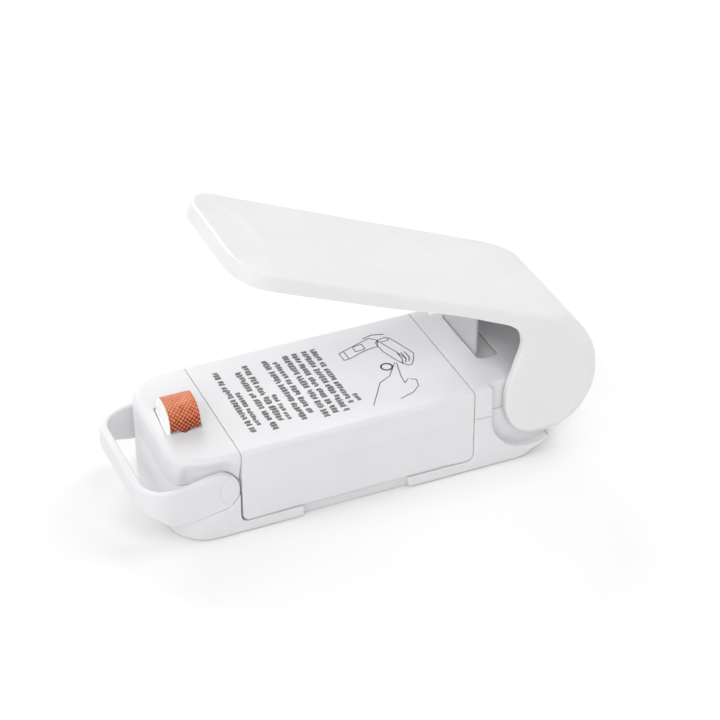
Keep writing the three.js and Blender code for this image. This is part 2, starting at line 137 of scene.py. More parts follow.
def smoothstep(a, b, v):
    t = np.clip((v - a) / (b - a), 0, 1)
    return t * t * (3 - 2 * t)


# ------------------------- surface meshing ------------------------
CORNERS = [(i, j, k) for i in (0, 1) for j in (0, 1) for k in (0, 1)]
EDGES = [(a, b) for a in range(8) for b in range(a + 1, 8) if sum(abs(CORNERS[a][m] - CORNERS[b][m]) for m in range(3)) == 1]


def nets(f, xs, ys, zs, steps=3, eps=0.01):
    """Closed quad mesh of f = 0 on a grid of unequal spacing, drawn on to the surface."""
    xs, ys, zs = (np.asarray(v, float) for v in (xs, ys, zs))
    F = f(xs[:, None, None], ys[None, :, None], zs[None, None, :])
    F = np.broadcast_to(F, (len(xs), len(ys), len(zs))).astype(np.float32)
    S = F < 0
    cnt = np.zeros(tuple(n - 1 for n in F.shape), np.int8)
    for i, j, k in CORNERS:
        cnt += S[i:F.shape[0] - 1 + i, j:F.shape[1] - 1 + j, k:F.shape[2] - 1 + k]
    act = (cnt > 0) & (cnt < 8)
    I, J, K = np.nonzero(act)
    idx = np.full(act.shape, -1, np.int64)
    idx[I, J, K] = np.arange(len(I))
    G = (xs, ys, zs)
    cell = (I, J, K)
    vals = [F[I + i, J + j, K + k].astype(float) for i, j, k in CORNERS]
    acc = np.zeros((len(I), 3))
    num = np.zeros(len(I))
    for a, b in EDGES:
        va, vb = vals[a], vals[b]
        m = (va < 0) != (vb < 0)
        t = np.where(m, va / np.where(m, va - vb, 1), 0)
        for ax in range(3):
            ca, cb = CORNERS[a][ax], CORNERS[b][ax]
            lo, hi = G[ax][cell[ax] + ca], G[ax][cell[ax] + cb]
            acc[:, ax] += np.where(m, lo + (hi - lo) * t, 0)
        num += m
    P = acc / num[:, None]
    low = np.stack([xs[I], ys[J], zs[K]], 1)
    high = np.stack([xs[I + 1], ys[J + 1], zs[K + 1]], 1)
    pad = (high - low) * 0.35
    for _ in range(steps):
        f0 = f(P[:, 0], P[:, 1], P[:, 2])
        g = np.stack([
            (f(P[:, 0] + eps, P[:, 1], P[:, 2]) - f0) / eps,
            (f(P[:, 0], P[:, 1] + eps, P[:, 2]) - f0) / eps,
            (f(P[:, 0], P[:, 1], P[:, 2] + eps) - f0) / eps], 1)
        g2 = np.maximum((g * g).sum(1), 0.25)
        P = P - (f0 / g2)[:, None] * g
        P = np.clip(P, low - pad, high + pad)
    quads = []
    n0, n1, n2 = F.shape

    def add(m, q, flip):
        i, j, k = m
        c = [idx[tuple(v)] for v in q(i, j, k)]
        c = np.stack(c, 1)
        s = flip(i, j, k)
        c[s] = c[s][:, ::-1]
        quads.append(c)
    i, j, k = np.nonzero(S[:-1, 1:-1, 1:-1] != S[1:, 1:-1, 1:-1])
    j, k = j + 1, k + 1
    add((i, j, k), lambda i, j, k: [(i, j - 1, k - 1), (i, j, k - 1), (i, j, k), (i, j - 1, k)], lambda i, j, k: ~S[i, j, k])
    i, j, k = np.nonzero(S[1:-1, :-1, 1:-1] != S[1:-1, 1:, 1:-1])
    i, k = i + 1, k + 1
    add((i, j, k), lambda i, j, k: [(i - 1, j, k - 1), (i - 1, j, k), (i, j, k), (i, j, k - 1)], lambda i, j, k: ~S[i, j, k])
    i, j, k = np.nonzero(S[1:-1, 1:-1, :-1] != S[1:-1, 1:-1, 1:])
    i, j = i + 1, j + 1
    add((i, j, k), lambda i, j, k: [(i - 1, j - 1, k), (i, j - 1, k), (i, j, k), (i - 1, j, k)], lambda i, j, k: ~S[i, j, k])
    return P, np.concatenate(quads)


def to_row(P):
    Q = np.array(P, float) / 1000
    Q[:, 0] -= CX / 1000
    return Q


def from_arm(P):
    """(s, y, n) along and square to the arm to the seam frame."""
    P = np.asarray(P, float)
    return np.stack([ARM_REF[0] + P[:, 0] * CT + P[:, 2] * ST, P[:, 1], ARM_REF[1] - P[:, 0] * ST + P[:, 2] * CT], 1)


def mesh_object(name, P, faces, material, body, nodes=(), flat=False):
    me = bpy.data.meshes.new(name)
    if isinstance(faces, np.ndarray):
        me.vertices.add(len(P))
        me.vertices.foreach_set("co", to_row(P).astype(np.float32).ravel())
        n, w = faces.shape
        me.loops.add(n * w)
        me.loops.foreach_set("vertex_index", faces.astype(np.int32).ravel())
        me.polygons.add(n)
        me.polygons.foreach_set("loop_start", np.arange(0, n * w, w, dtype=np.int32))
        me.update(calc_edges=True)
    else:
        me.from_pydata([tuple(v) for v in to_row(P)], [], [list(q) for q in faces])
    me.validate()
    me.polygons.foreach_set("use_smooth", np.full(len(me.polygons), not flat))
    ob = bpy.data.objects.new(name, me)
    bpy.context.scene.collection.objects.link(ob)
    me.materials.append(material)
    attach(ob, body)
    if nodes:
        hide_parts(*nodes)
    return ob


def lines(*spans):
    """Grid lines: spans are (from, to, spacing), joined end to end."""
    out = []
    for a, b, h in spans:
        n = max(1, int(round((b - a) / h)))
        out += list(a + (b - a) * np.arange(n) / n)
    out.append(spans[-1][1])
    return np.array(out)


# ---------------------------- materials ---------------------------
def principled(name):
    m = bpy.data.materials.new(name)
    m.use_nodes = True
    nt = m.node_tree
    return m, nt, nt.nodes["Principled BSDF"]


def ramp(nt, fac, stops):
    r = nt.nodes.new("ShaderNodeValToRGB")
    while len(r.color_ramp.elements) < len(stops):
        r.color_ramp.elements.new(0.5)
    for e, (p, c) in zip(r.color_ramp.elements, stops):
        e.position = p
        e.color = (*c, 1)
    nt.links.new(fac, r.inputs["Fac"])
    return r.outputs["Color"]


def noise(nt, coord, scale, detail=2.0, rough=0.5):
    n = nt.nodes.new("ShaderNodeTexNoise")
    n.inputs["Scale"].default_value = scale
    n.inputs["Detail"].default_value = detail
    n.inputs["Roughness"].default_value = rough
    nt.links.new(coord, n.inputs["Vector"])
    return n.outputs["Fac"]


def objcoord(nt, name="Object"):
    t = nt.nodes.new("ShaderNodeTexCoord")
    return t.outputs[name]


def bump(nt, height, strength, distance, bsdf, normal=None):
    b = nt.nodes.new("ShaderNodeBump")
    b.inputs["Strength"].default_value = strength
    b.inputs["Distance"].default_value = distance
    nt.links.new(height, b.inputs["Height"])
    if normal:
        nt.links.new(normal, b.inputs["Normal"])
    nt.links.new(b.outputs["Normal"], bsdf.inputs["Normal"])
    return b.outputs["Normal"]


def plastic(name, color, rough=0.42, grain=9000.0, depth=0.00002, sss=0.0):
    """Satin moulded plastic: faint mottling, a fine spark-eroded grain and slow flow waves."""
    m, nt, b = principled(name)
    co = objcoord(nt)
    soft = noise(nt, co, 55.0, 3.0)
    lo = tuple(c * 0.975 for c in color)
    hi = tuple(min(1.0, c * 1.015) for c in color)
    nt.links.new(ramp(nt, soft, [(0.3, lo), (0.7, hi)]), b.inputs["Base Color"])
    fine = noise(nt, co, grain, 2.0, 0.6)
    r = nt.nodes.new("ShaderNodeMapRange")
    r.inputs["From Min"].default_value = 0.3
    r.inputs["From Max"].default_value = 0.7
    r.inputs["To Min"].default_value = rough - 0.05
    r.inputs["To Max"].default_value = rough + 0.07
    nt.links.new(noise(nt, co, 220.0, 3.0), r.inputs["Value"])
    nt.links.new(r.outputs["Result"], b.inputs["Roughness"])
    n1 = bump(nt, fine, 0.25, depth, b)
    bump(nt, noise(nt, co, 90.0, 1.0), 0.10, 0.0002, b, n1)
    b.inputs["Specular IOR Level"].default_value = 0.42
    if sss:
        b.inputs["Subsurface Weight"].default_value = sss
        b.inputs["Subsurface Radius"].default_value = (0.0012, 0.0011, 0.001)
        b.inputs["Subsurface Scale"].default_value = 1.0
    return m


def metal(name, color, rough=0.3, scale=(40, 2500, 2500)):
    m, nt, b = principled(name)
    b.inputs["Metallic"].default_value = 1.0
    co = objcoord(nt)
    mp = nt.nodes.new("ShaderNodeMapping")
    mp.inputs["Scale"].default_value = scale
    nt.links.new(co, mp.inputs["Vector"])
    n = noise(nt, mp.outputs["Vector"], 1.0, 3.0)
    nt.links.new(ramp(nt, n, [(0.25, tuple(c * 0.82 for c in color)), (0.75, color)]), b.inputs["Base Color"])
    r = nt.nodes.new("ShaderNodeMapRange")
    r.inputs["To Min"].default_value = rough * 0.7
    r.inputs["To Max"].default_value = rough * 1.4
    nt.links.new(n, r.inputs["Value"])
    nt.links.new(r.outputs["Result"], b.inputs["Roughness"])
    bump(nt, n, 0.15, 0.00002, b)
    return m


M_BODY = plastic("white_body", (0.80, 0.80, 0.815))
M_COVER = plastic("white_cover", (0.805, 0.805, 0.82))
M_ARM = plastic("white_arm", (0.83, 0.83, 0.84))
M_GREY = plastic("liner", (0.78, 0.78, 0.79), 0.5)
M_DARK = plastic("grey_blade", (0.62, 0.62, 0.63), 0.5)
M_HEAT = plastic("heater_white", (0.97, 0.97, 0.965), 0.36)
M_SILI = plastic("silicone", (0.52, 0.52, 0.50), 0.7)
M_STEEL = metal("steel", (0.62, 0.62, 0.63))
M_BRASS = metal("brass", (0.78, 0.62, 0.30), 0.28)
M_STRIP = metal("strip", (0.42, 0.42, 0.43), 0.3)
M_CELL = plastic("cell_jacket", (0.05, 0.22, 0.13), 0.3)
M_LEAD = plastic("lead_jacket", (0.4, 0.03, 0.02), 0.45)
M_INK = plastic("print_ink", (0.135, 0.135, 0.14), 0.6, 5000.0, 0.00001)


def math_node(nt, op, a, b=None):
    n = nt.nodes.new("ShaderNodeMath")
    n.operation = op
    for k, v in enumerate((a, b)):
        if v is None:
            continue
        if isinstance(v, (int, float)):
            n.inputs[k].default_value = v
        else:
            nt.links.new(v, n.inputs[k])
    return n.outputs[0]


def cloth_material():
    """PTFE coated glass cloth: yarns crossing at 45 degrees, with a painted highlight on the yarn crowns, painted shade
    between the yarns, and painted light and shade across the arch, darker towards the cut end.
    """
    m, nt, b = principled("glass_cloth")
    uv = nt.nodes.new("ShaderNodeUVMap")
    uv.uv_map = "cloth"
    sep = nt.nodes.new("ShaderNodeSeparateXYZ")
    wob = nt.nodes.new("ShaderNodeTexNoise")
    wob.inputs["Scale"].default_value = 6.0
    wob.inputs["Detail"].default_value = 1.0
    nt.links.new(uv.outputs["UV"], wob.inputs["Vector"])
    nt.links.new(uv.outputs["UV"], sep.inputs["Vector"])
    u, v = sep.outputs["X"], sep.outputs["Y"]
    k = math.pi / math.sqrt(2) / 0.74 * 10
    sp = math_node(nt, "SINE", math_node(nt, "MULTIPLY", math_node(nt, "ADD", u, v), k))
    sq = math_node(nt, "SINE", math_node(nt, "MULTIPLY", math_node(nt, "SUBTRACT", u, v), k))
    # yarn crowns: they drive the bump relief and, through the colour ramp, a painted highlight on the crowns and
    # painted shade between the yarns
    crown_relief_and_highlight = math_node(nt, "ABSOLUTE", math_node(nt, "MULTIPLY", sp, sq))
    mott = noise(nt, objcoord(nt), 900.0, 3.0, 0.65)
    # contrast of the painted weave highlight and shade: strongest low on the near side by the cut end, fading over the
    # top of the arch
    depth = nt.nodes.new("ShaderNodeMapRange")
    depth.inputs["From Min"].default_value = 0.2
    depth.inputs["From Max"].default_value = 0.95
    depth.inputs["To Min"].default_value = 0.98
    depth.inputs["To Max"].default_value = 0.34
    nt.links.new(u, depth.inputs["Value"])
    val = math_node(nt, "ADD", math_node(nt, "MULTIPLY", crown_relief_and_highlight, depth.outputs["Result"]), math_node(nt, "MULTIPLY", math_node(nt, "SUBTRACT", mott, 0.5), 0.7))
    # painted light and shade: less contrast and a paler colour over the top of the arch, where the light falls, darker
    # down the near side towards the cut end
    arch_painted_light_shade = nt.nodes.new("ShaderNodeMapRange")
    arch_painted_light_shade.inputs["From Min"].default_value = 0.15
    arch_painted_light_shade.inputs["From Max"].default_value = 0.85
    arch_painted_light_shade.inputs["To Min"].default_value = -0.24
    arch_painted_light_shade.inputs["To Max"].default_value = 0.54
    nt.links.new(math_node(nt, "ADD", u, math_node(nt, "MULTIPLY", wob.outputs["Fac"], 0.25)), arch_painted_light_shade.inputs["Value"])
    val = math_node(nt, "ADD", val, arch_painted_light_shade.outputs["Result"])
    # colour ramp from dark brown painted shade, through the cloth's orange, up to a pale orange painted highlight
    col = ramp(nt, val, [(0.0, (0.13, 0.012, 0.005)), (0.22, (0.36, 0.045, 0.014)), (0.5, (0.62, 0.125, 0.04)), (0.85, (0.80, 0.27, 0.12)), (1.0, (0.88, 0.40, 0.22))])
    nt.links.new(col, b.inputs["Base Color"])
    b.inputs["Roughness"].default_value = 0.46
    b.inputs["Specular IOR Level"].default_value = 0.45
    b.inputs["Sheen Weight"].default_value = 0.12
    bump(nt, crown_relief_and_highlight, 0.35, 0.00006, b)
    return m


M_CLOTH = cloth_material()


# ----------------------------- shapes -----------------------------
REAR_OUT = smooth([(69.5, 0), (71.2, 0.3), (72.6, 0.95), (76.2, 2.9), (79.0, 4.7)], 0.5) + arc(HX, HZ, BARREL_R, -66, 0, 22)[1:]
BODY_POLY = [(-80, 0)] + REAR_OUT + arc(HX, HZ, BARREL_R, 0, 60, 14)[1:] + [(HX + 5.5, 80), (-80, 80)]
CHEEK_POLY = [(62.2, 60), (62.2, HZ - 0.6)] + arc(73.0, 14.0, 10.8, 177, 300, 34) + [(84, 4.64), (120, 4.64), (120, 60)]


def top_radius(x):
    """The top edge is a little softer round the nose."""
    return EDGE_R + 0.6 * (1 - smoothstep(-14.0, -8.0, x))


def body_volume(x, y, z):
    side = rmax(-(x - FRONT_X), np.abs(y) - HALF_W, HEAD_R)
    prof = poly(x, z, BODY_POLY)
    wide = rmax(side, prof, 1.1)
    wide = rmax(wide, z - TOP_Z, top_radius(x))
    cut = poly(x, z, CHEEK_POLY)
    wide = rmax(wide, -cut, 0.5)
    slim = rmax(np.abs(y) - 16.3, prof, 1.0)
    slim = rmax(slim, z - TOP_Z, 1.2)
    slim = np.maximum(slim, 50 - x)
    return np.minimum(wide, slim)


def bail_outline(g):
    low = smooth([(BX + (4.95 + g) * math.cos(math.radians(-78)), BZ + (4.95 + g) * math.sin(math.radians(-78))),
                  (-7.6, 7.3 - g), (-10.2, 6.7 - g), (-12.8, 6.45 - g), (-15.4, 6.75 - g), (-18.0, 7.75 - g), (-20.4, 9.2 - g), (-24 - g, 10.6 - g)], 1.0)
    top = smooth([(-24 - g, 15.2 + g), (-20.4, 15.5 + g), (-16.5, 15.85 + g), (-12.8, 16.25 + g), (-10.2, 16.7 + g), (-7.6, 17.25 + g),
                  (BX + (4.95 + g) * math.cos(math.radians(82)), BZ + (4.95 + g) * math.sin(math.radians(82)))], 1.0)
    return arc(BX, BZ, 4.95 + g, 80, -76, 26) + low + top


def turned(pts, deg):
    c, s = math.cos(math.radians(deg)), math.sin(math.radians(deg))
    return [(BX + (x - BX) * c + (z - BZ) * s, BZ - (x - BX) * s + (z - BZ) * c) for x, z in pts]


BAIL_FRONT = -23.0
BAIL_POLY = bail_outline(0)
SWEEP_BAND = bail_outline(0.09)[::2]


# the loop only lifts: its side bands need room from where they rest up to 20 degrees
def sweep_field(x, z):
    d = np.hypot(x - BX, z - BZ) - 5.02
    for a in (0, 10.5, 21):
        d = np.minimum(d, poly(x, z, turned(SWEEP_BAND, a)))
    return d


def bail_recess(x, y, z):
    return rmax(sweep_field(x, z), 16.62 - np.abs(y), 0.4)


def boss_seat(x, y, z):
    return np.maximum(np.minimum(np.hypot(x - BX, z - BZ) - 4.985, poly(x, z, SWEEP_BAND)), 16.7 - np.abs(y))


def head_volume(x, y, z):
    """The nose, hollowed along each side just above the loop in a soft cove."""
    e = np.maximum(poly(x, z, BAIL_POLY), 0)
    deep = 2.1 - 0.9 * smoothstep(-4.5, -0.3, x)
    wide = 6.4 - 2.4 * smoothstep(-13.0, -0.3, x)
    cove = deep * (1 - smoothstep(0.8, wide, e)) * smoothstep(-14.3, -11.0, x)
    side = rmax(-(x - FRONT_X), np.abs(y) - HALF_W + cove, HEAD_R)
    return rmax(rmax(side, -z, 1.5), z - TOP_Z, top_radius(x))


def front_hollow(x, y, z, grow=0.0):
    h = rmax(-(x - (FRONT_X + 2.4)), np.abs(y) - 14.5, 6.2)
    return np.maximum(np.maximum(h, x + 1.5 - grow), np.maximum(1.6 - z, z - (TOP_Z - 1.6)))


REAR_IN = [(59.3, 1.7), (70.6, 1.7), (74.5, 3.6), (78.2, 5.9)] + arc(HX, HZ, BARREL_R - 1.8, -60, 33, 16) + [(HX + 6.6, TOP_Z - 1.6), (59.3, TOP_Z - 1.6)]


def rear_hollow(x, y, z):
    return np.maximum(poly(x, z, REAR_IN), np.abs(y) - 13.8)


POSTS = [(-9.6, -10.1), (-9.6, 10.1), (61.6, -10.4), (61.6, 10.4)]
NOTCH = [(14.9, -5), (14.9, 3.2), (40.7, 3.2), (42.2, -5)]


def f_base(x, y, z):
    b = body_volume(x, y, z)
    b = rmax(b, -bail_recess(x, y, z), 0.25)
    b = rmax(b, z - (PART - 0.08), 0.14)
    b = np.maximum(b, -front_hollow(x, y, z))
    b = np.maximum(b, -rear_hollow(x, y, z))
    tray = rmax(rmax(1.9 - x, x - 55.7, 0.8), np.abs(y) - 15.1, 0.8)
    b = rmax(b, -np.maximum(tray, 1.7 - z), 0.2)
    zone = rmax(np.maximum(-0.34 - x, x - 57.62), 3.12 - z, 1.8)
    zone = np.maximum(zone, 16.85 - np.abs(y))
    b = rmax(b, -zone, 0.16)
    wall = np.minimum(np.maximum(0.5 - x, x - 1.9), np.maximum(55.7 - x, x - 57.1))
    wall = np.maximum(wall, rmax(np.abs(y) - 16.8, z - 20.3, 1.5))
    wall = np.maximum(wall, 2.0 - z)
    wall = rmax(wall, -np.maximum(np.abs(y) - 1.4, 15.6 - z), 0.2)
    b = np.minimum(b, wall)
    r = 7.5
    saddle = np.maximum(np.minimum(np.hypot(y + 7.35, z - 9.2), np.hypot(y - 7.35, z - 9.2)) * -1 + r, z - 6.5)
    crib = np.minimum(np.maximum(14 - x, x - 15.5), np.maximum(42 - x, x - 43.5))
    crib = np.maximum(np.maximum(crib, saddle), np.maximum(np.abs(y) - 15.2, 1.5 - z))
    b = np.minimum(b, crib)
    notch = rmax(poly(x, z, NOTCH), 17.3 - np.abs(y), 0.3)
    b = rmax(b, -notch, 0.2)
    for px, py in POSTS:
        q = np.hypot(x - px, y - py)
        b = np.minimum(b, np.maximum(q - 2.5, np.maximum(1.0 - z, z - 14.0)))
        b = rmax(b, -np.maximum(q - 2.35, z - 3.2), 0.2)
        b = np.maximum(b, 1.3 - q)
    return b


def window(x, y):
    """Opening for the heating head; its front edge is slightly skew, as moulded."""
    front = -12.2 + 0.075 * (y - 1.5) - x
    return rmax(np.maximum(front, x + 4.05), np.maximum(-5.66 - y, y - 5.5), 0.4)


def f_head(x, y, z):
    b = head_volume(x, y, z)
    b = rmax(b, -boss_seat(x, y, z), 0.06)
    b = rmax(b, x + 0.03, 0.09)
    b = rmax(b, (PART + 0.1) - z, 0.14)
    b = np.maximum(b, -front_hollow(x, y, z, 5.0))
    b = rmax(b, -window(x, y), 0.1)
    return b


def f_rear(x, y, z):
    b = body_volume(x, y, z)
    b = rmax(b, 57.64 - x, 0.09)
    b = rmax(b, (PART + 0.1) - z, 0.14)
    b = np.maximum(b, -np.minimum(rear_hollow(x, y, z), np.maximum(np.maximum(x - 60, np.abs(y) - 15), np.maximum(z - 20.7, 10 - z))))
    slot = rmax(np.maximum(64.42 - x, x - 69.7), np.maximum(-6.3 - y, y - 13.8), 1.25)
    b = rmax(b, -np.maximum(slot, 15 - z), 0.25)
    return b


def f_cover(x, y, z):
    b = rmax(np.abs(y) - HALF_W, z - TOP_Z, EDGE_R)
    ends = rmax(rmax(0.07 - x, x - 57.5, 0.08), 3.4 - z, 1.7)
    b = rmax(b, ends, 0.11)
    inner = rmax(np.abs(y) - 17.15, z - 20.7, 1.6)
    # the faint moulded step along each side
    crease = 0.17 * smoothstep(11.0, 13.0, x) * (1 - smoothstep(50.0, 52.5, x)) * smoothstep(14.4, 14.7, z) * (1 - smoothstep(16.0, 20.5, z)) * (np.abs(y) > 18)
    return rmax(b + 0.05 + 0.12 * (np.abs(y) > 18) * (1 - smoothstep(16.0, 20.5, z)) * smoothstep(1.0, 12.0, x) * (1 - smoothstep(50.0, 57.0, x)) - crease, -inner, 0.25)


# arm outlines
def armp(s, n):
    return (ARM_REF[0] + s * CT + n * ST, ARM_REF[1] - s * ST + n * CT)


CHEEK_FRONT = smooth([armp(-90, -4.1), armp(-60, -4.1)] + [armp(s, n) for s, n in ((-34, -4.1), (-18, -4.08), (-5, -4.02), (6, -3.95), (14, -3.75), (20.4, -3.52), (26, -3.4), (31.3, -3.5), (36.9, -3.72))]
                     + [(65.7, 38.55), (67.5, 37.2), (68.55, 35.9), (69.2, 34.4), (69.4, 32.4), (69.1, 30.6), (68.3, 28.3), (67.4, 25.5), (66.5, 22.9), (65.8, 20.3), (65.6, 17.7),
                        (65.8, 14.7), (66.6, 12.2), (67.8, 10.1), (69.5, 8.4), (71.4, 7.1), (73.8, 6.1), (76.3, 5.4), (78.4, 5.1)], 1.0)
OPEN_POLY = CHEEK_FRONT + [(92, 4.4), (200, 3), (200, 200), (-200, 200)]
REAR_CURVE = smooth([(74.0, 5.1), (78.2, 5.12), (81.4, 5.9), (84.6, 7.75), (87.2, 10.5), (89.2, 14.2), (90.15, 18.4), (89.95, 23.0), (88.75, 27.3), (86.6, 31.2), (83.2, 35.5)], 0.9)
REAR_POLY = [(-200, 5.1)] + REAR_CURVE + [(70, 50), (20, 100), (-200, 100)]


def arm_half(s):
    return HALF_W + 0.35 * np.clip((14.0 - s) / 28.0, 0, 1)


def f_arm(s, y, n):
    x = ARM_REF[0] + s * CT + n * ST
    z = ARM_REF[1] - s * ST + n * CT
    w = arm_half(s)
    side = rmax(ARM_S0 - s, np.abs(y) - w, 8.5)
    rear = poly(x, z, REAR_POLY)
    o = rmax(side, poly(x, z, OPEN_POLY), 0.55)
    o = rmax(o, rear, 3.4)
    # shallow thumb dish near the tip
    dish = 0.16 * (1 - smoothstep(0.80, 1.04, (np.abs((s + 31.0) / 11.6) ** 2.2 + np.abs(y / 17.2) ** 2.2) ** (1 / 2.2)))
    o = rmax(o, n + dish, 0.75 + 0.5 * smoothstep(ARM_S0 + 3.0, ARM_S0 + 14.0, s))
    iside = rmax(ARM_S0 + ARM_WALL - s, np.abs(y) - w + 2.05, 6.7)
    i = rmax(iside, n + ARM_WALL, 0.8)
    i = rmax(i, np.minimum(rear + 1.8, z - 11.8), 0.8)
    return rmax(o, -i, 0.35)


def f_bail(x, y, z):
    o = rmax(BAIL_FRONT - x, np.abs(y) - HALF_W, 7.6)
    i = rmax(BAIL_FRONT + 2.1 - x, np.abs(y) - HALF_W + 1.9, 5.7)
    ring = rmax(o, -i, 0.5)
    b = rmax(ring, poly(x, z, BAIL_POLY), 0.5)
    # dished thumb spot on each boss
    dx = np.hypot(x + 0.9, z - 12.6)
    dish = 0.3 * (1 - smoothstep(4.0, 4.5, dx)) * (np.abs(y) > 18.0)
    b = rmax(b, np.abs(y) - HALF_W + dish, 0.3)
    return np.maximum(b, -np.maximum(np.hypot(x - BX, z - BZ) - 1.5, np.abs(y) - 18.0))


# the heating head: an arch across the nose, flat faced at the front
HEAT_X0, HEAT_X1, HEAT_Y0, HEAT_Y1, HEAT_TOP, HEAT_SKEW = -11.6, -4.2, -5.5, 5.0, 27.4, 0.035


def dome(off, z0, n=72):
    yc, b, h, out = (HEAT_Y0 + HEAT_Y1) / 2, (HEAT_Y1 - HEAT_Y0) / 2 + off, HEAT_TOP - TOP_Z + 0.6 + off, []
    for i in range(n + 1):
        c, s = math.cos(math.pi * i / n), math.sin(math.pi * i / n)
        e = 2 / 2.7
        out.append((yc + b * math.copysign(abs(c) ** e, c), TOP_Z - 0.6 + h * abs(s) ** e))
    return [(yc + b, z0)] + out + [(yc - b, z0)]


BLOCK_POLY = dome(-0.28, 13.0)
RIM_POLY = dome(-0.05, 13.0)
GROOVE_POLY = dome(-0.68, 14.0)


def f_block(x, y, z):
    front = HEAT_X0 + HEAT_SKEW * y - x
    d = rmax(poly(y, z, BLOCK_POLY), np.maximum(front, x - HEAT_X1), 0.12)
    rim = rmax(poly(y, z, RIM_POLY), np.maximum(front, -front - 0.2), 0.07)
    b = np.minimum(d, rim)
    # a low skirt fills the window in front of the arch
    skirt = rmax(rmax(-12.08 + 0.075 * (y - 1.5) + 0.16 * smoothstep(-1.0, 4.0, y) - x, x + 11.0, 0.05), np.maximum(-5.5 - y, y - 5.2), 0.3)
    b = np.minimum(b, rmax(np.maximum(skirt, 20.5 - z), z - 22.26, 0.08))
    groove = np.maximum(np.abs(x + 7.9) - 1.15, -poly(y, z, GROOVE_POLY))
    b = rmax(b, -groove, 0.06)
    b = np.maximum(b, -np.maximum(np.maximum(np.abs(x + 7.9) - 2.1, np.abs(y + 0.25) - 3.15), z - 18.5))
    return np.maximum(b, -np.maximum(np.hypot(x + 8.3, y - 0.15) - 2.3, z - 19.2))


def f_blade(x, y, z):
    plate = rmax(rmax(64.6 - x, x - 65.3, 0.2), rmax(np.abs(y - 4.55) - 8.55, z - 37.6, 0.6), 0.2)
    plate = np.maximum(plate, 9.0 - z)
    shoulder = rmax(rmax(64.6 - x, x - 69.6, 1.2), np.abs(y - 3.75) - 9.72, 1.2)
    ramp_ = 0.5 * smoothstep(66.0, 69.4, x)
    shoulder = rmax(np.maximum(shoulder, 19.6 - z), z - 21.2 - ramp_ * 1.4, 0.2)
    foot = np.maximum(np.maximum(64.6 - x, x - 67.2), np.maximum(np.abs(y - 3) - 3, np.maximum(9.0 - z, z - 10.2)))
    return np.minimum(np.minimum(plate, shoulder), foot)


